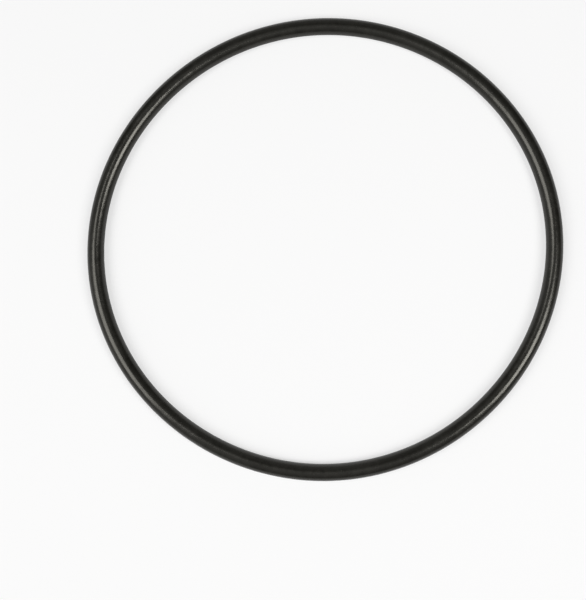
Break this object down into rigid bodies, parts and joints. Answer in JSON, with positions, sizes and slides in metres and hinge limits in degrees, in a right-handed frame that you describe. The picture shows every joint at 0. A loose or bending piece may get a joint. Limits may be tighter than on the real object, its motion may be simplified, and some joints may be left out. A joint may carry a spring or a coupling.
{
  "type": "rubber o-ring",
  "caption": "Black rubber O-ring: a closed moulded ring of round section, with a fine trimmed flash line around its inside and its outside.",
  "frame": {"origin": "on the ring's axis, in the flat plane that the ring lies on, under its lowest line", "axes": "+Z along the ring's axis, up from the plane that it lies on; X and Y are free, because the ring is round"},
  "size_m": [0.0988, 0.0988, 0.0035],
  "materials": {
    "rubber": "smooth moulded black rubber with a soft gloss"
  },
  "bodies": {
    "root": {"o_ring": "rubber"}
  },
  "joints": []
}
